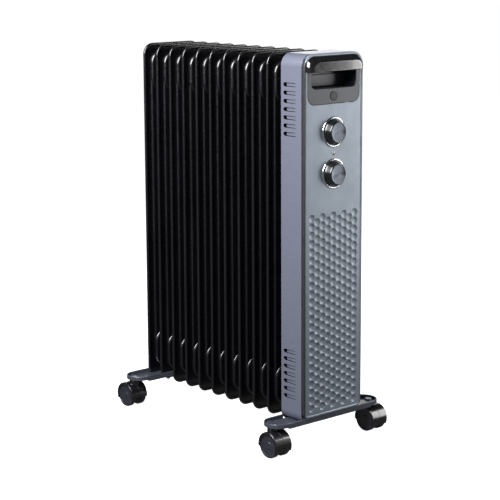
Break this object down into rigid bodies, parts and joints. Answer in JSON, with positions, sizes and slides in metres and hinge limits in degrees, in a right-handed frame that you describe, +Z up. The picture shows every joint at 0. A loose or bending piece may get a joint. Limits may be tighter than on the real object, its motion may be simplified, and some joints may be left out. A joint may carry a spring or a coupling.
{
  "type": "oil filled radiator heater",
  "caption": "Finned oil filled radiator heater with a front control housing, carrying handle, two turning knobs and swivelling twin-wheel casters under cross brackets.",
  "frame": {"origin": "on the floor, under the middle of the overall box", "axes": "+Z up; X across the width, -Y towards the control side, +Y along the row of fins"},
  "size_m": [0.2404, 0.4226, 0.6162],
  "materials": {
    "fin_paint": "gloss black stoved enamel on pressed steel",
    "case_paint": "metallic grey lacquer",
    "panel_plastic": "satin grey moulding",
    "pocket_plastic": "dark grey moulding",
    "grip_plastic": "dark gloss moulding",
    "badge_plastic": "plain dark disc",
    "bright_chrome": "polished",
    "lamp_lens": "clear dome",
    "white_plastic": "moulded",
    "black_plastic": "moulded",
    "knob_plastic": "gloss black moulding",
    "spun_cap": "spun, dark anodised",
    "zinc_steel": "zinc plated",
    "element_steel": "drawn steel tube",
    "lead_rubber": "silicone sleeved",
    "foot_paint": "dark grey metallic lacquer",
    "caster_plastic": "gloss black moulding",
    "wheel_plastic": "black moulding"
  },
  "bodies": {
    "radiator": {"fin_01": "fin_paint", "fin_02": "fin_paint", "fin_03": "fin_paint", "fin_04": "fin_paint", "fin_05": "fin_paint", "fin_06": "fin_paint", "fin_07": "fin_paint", "fin_08": "fin_paint", "fin_09": "fin_paint", "fin_10": "fin_paint", "fin_11": "fin_paint", "fin_collars": "fin_paint", "filler_plug": "zinc_steel", "heating_element": "element_steel", "hub_cap": "fin_paint", "housing_shell": "case_paint", "front_panel": "panel_plastic", "handle_pocket": "pocket_plastic", "grip_bar": "grip_plastic", "badge_disc": "badge_plastic", "knob_rings": "bright_chrome", "indicator_lens": "lamp_lens", "indicator_lamp": "white_plastic", "thermostat_body": "black_plastic", "selector_body": "black_plastic", "heat_shield": "zinc_steel", "terminal_block": "white_plastic", "wire_leads": "lead_rubber", "thermal_cutout": "zinc_steel", "tip_over_switch": "black_plastic", "cord_gland": "black_plastic", "case_screws": "zinc_steel", "front_bracket": "foot_paint", "rear_bracket": "foot_paint", "u_bolt": "zinc_steel", "wing_nuts": "zinc_steel", "bracket_screws": "zinc_steel", "caster_stems": "zinc_steel"},
    "thermostat_control": {"thermostat_knob": "knob_plastic", "thermostat_knob_cap": "spun_cap", "thermostat_shaft": "zinc_steel"},
    "selector_control": {"selector_knob": "knob_plastic", "selector_knob_cap": "spun_cap", "selector_shaft": "zinc_steel"},
    "caster_front_left": {"caster_hood_front_left": "caster_plastic", "caster_axle_front_left": "zinc_steel"},
    "wheel_outer_front_left": {"wheel_outer_front_left": "wheel_plastic"},
    "wheel_inner_front_left": {"wheel_inner_front_left": "wheel_plastic"},
    "caster_front_right": {"caster_hood_front_right": "caster_plastic", "caster_axle_front_right": "zinc_steel"},
    "wheel_outer_front_right": {"wheel_outer_front_right": "wheel_plastic"},
    "wheel_inner_front_right": {"wheel_inner_front_right": "wheel_plastic"},
    "caster_rear_left": {"caster_hood_rear_left": "caster_plastic", "caster_axle_rear_left": "zinc_steel"},
    "wheel_outer_rear_left": {"wheel_outer_rear_left": "wheel_plastic"},
    "wheel_inner_rear_left": {"wheel_inner_rear_left": "wheel_plastic"},
    "caster_rear_right": {"caster_hood_rear_right": "caster_plastic", "caster_axle_rear_right": "zinc_steel"},
    "wheel_outer_rear_right": {"wheel_outer_rear_right": "wheel_plastic"},
    "wheel_inner_rear_right": {"wheel_inner_rear_right": "wheel_plastic"}
  },
  "joints": [
    {"name": "thermostat_turn", "type": "hinge", "parent": "radiator", "child": "thermostat_control", "pos_m": [0, -0.19955, 0.496], "axis": [0, 1, 0], "range_deg": [0, 300]},
    {"name": "selector_turn", "type": "hinge", "parent": "radiator", "child": "selector_control", "pos_m": [0, -0.19955, 0.432], "axis": [0, 1, 0], "range_deg": [0, 270]},
    {"name": "caster_swivel_front_left", "type": "hinge", "parent": "radiator", "child": "caster_front_left", "pos_m": [-0.104, -0.17432, 0.02], "axis": [0, 0, 1], "continuous": true},
    {"name": "wheel_outer_front_left_roll", "type": "hinge", "parent": "caster_front_left", "child": "wheel_outer_front_left", "pos_m": [-0.104, -0.18032, 0.02], "axis": [1, 0, 0], "continuous": true},
    {"name": "wheel_inner_front_left_roll", "type": "hinge", "parent": "caster_front_left", "child": "wheel_inner_front_left", "pos_m": [-0.104, -0.18032, 0.02], "axis": [1, 0, 0], "continuous": true},
    {"name": "caster_swivel_front_right", "type": "hinge", "parent": "radiator", "child": "caster_front_right", "pos_m": [0.104, -0.17432, 0.02], "axis": [0, 0, 1], "continuous": true},
    {"name": "wheel_outer_front_right_roll", "type": "hinge", "parent": "caster_front_right", "child": "wheel_outer_front_right", "pos_m": [0.104, -0.18032, 0.02], "axis": [1, 0, 0], "continuous": true},
    {"name": "wheel_inner_front_right_roll", "type": "hinge", "parent": "caster_front_right", "child": "wheel_inner_front_right", "pos_m": [0.104, -0.18032, 0.02], "axis": [1, 0, 0], "continuous": true},
    {"name": "caster_swivel_rear_left", "type": "hinge", "parent": "radiator", "child": "caster_rear_left", "pos_m": [-0.104, 0.18192, 0.02], "axis": [0, 0, 1], "continuous": true},
    {"name": "wheel_outer_rear_left_roll", "type": "hinge", "parent": "caster_rear_left", "child": "wheel_outer_rear_left", "pos_m": [-0.104, 0.18792, 0.02], "axis": [1, 0, 0], "continuous": true},
    {"name": "wheel_inner_rear_left_roll", "type": "hinge", "parent": "caster_rear_left", "child": "wheel_inner_rear_left", "pos_m": [-0.104, 0.18792, 0.02], "axis": [1, 0, 0], "continuous": true},
    {"name": "caster_swivel_rear_right", "type": "hinge", "parent": "radiator", "child": "caster_rear_right", "pos_m": [0.104, 0.18192, 0.02], "axis": [0, 0, 1], "continuous": true},
    {"name": "wheel_outer_rear_right_roll", "type": "hinge", "parent": "caster_rear_right", "child": "wheel_outer_rear_right", "pos_m": [0.104, 0.18792, 0.02], "axis": [1, 0, 0], "continuous": true},
    {"name": "wheel_inner_rear_right_roll", "type": "hinge", "parent": "caster_rear_right", "child": "wheel_inner_rear_right", "pos_m": [0.104, 0.18792, 0.02], "axis": [1, 0, 0], "continuous": true}
  ]
}
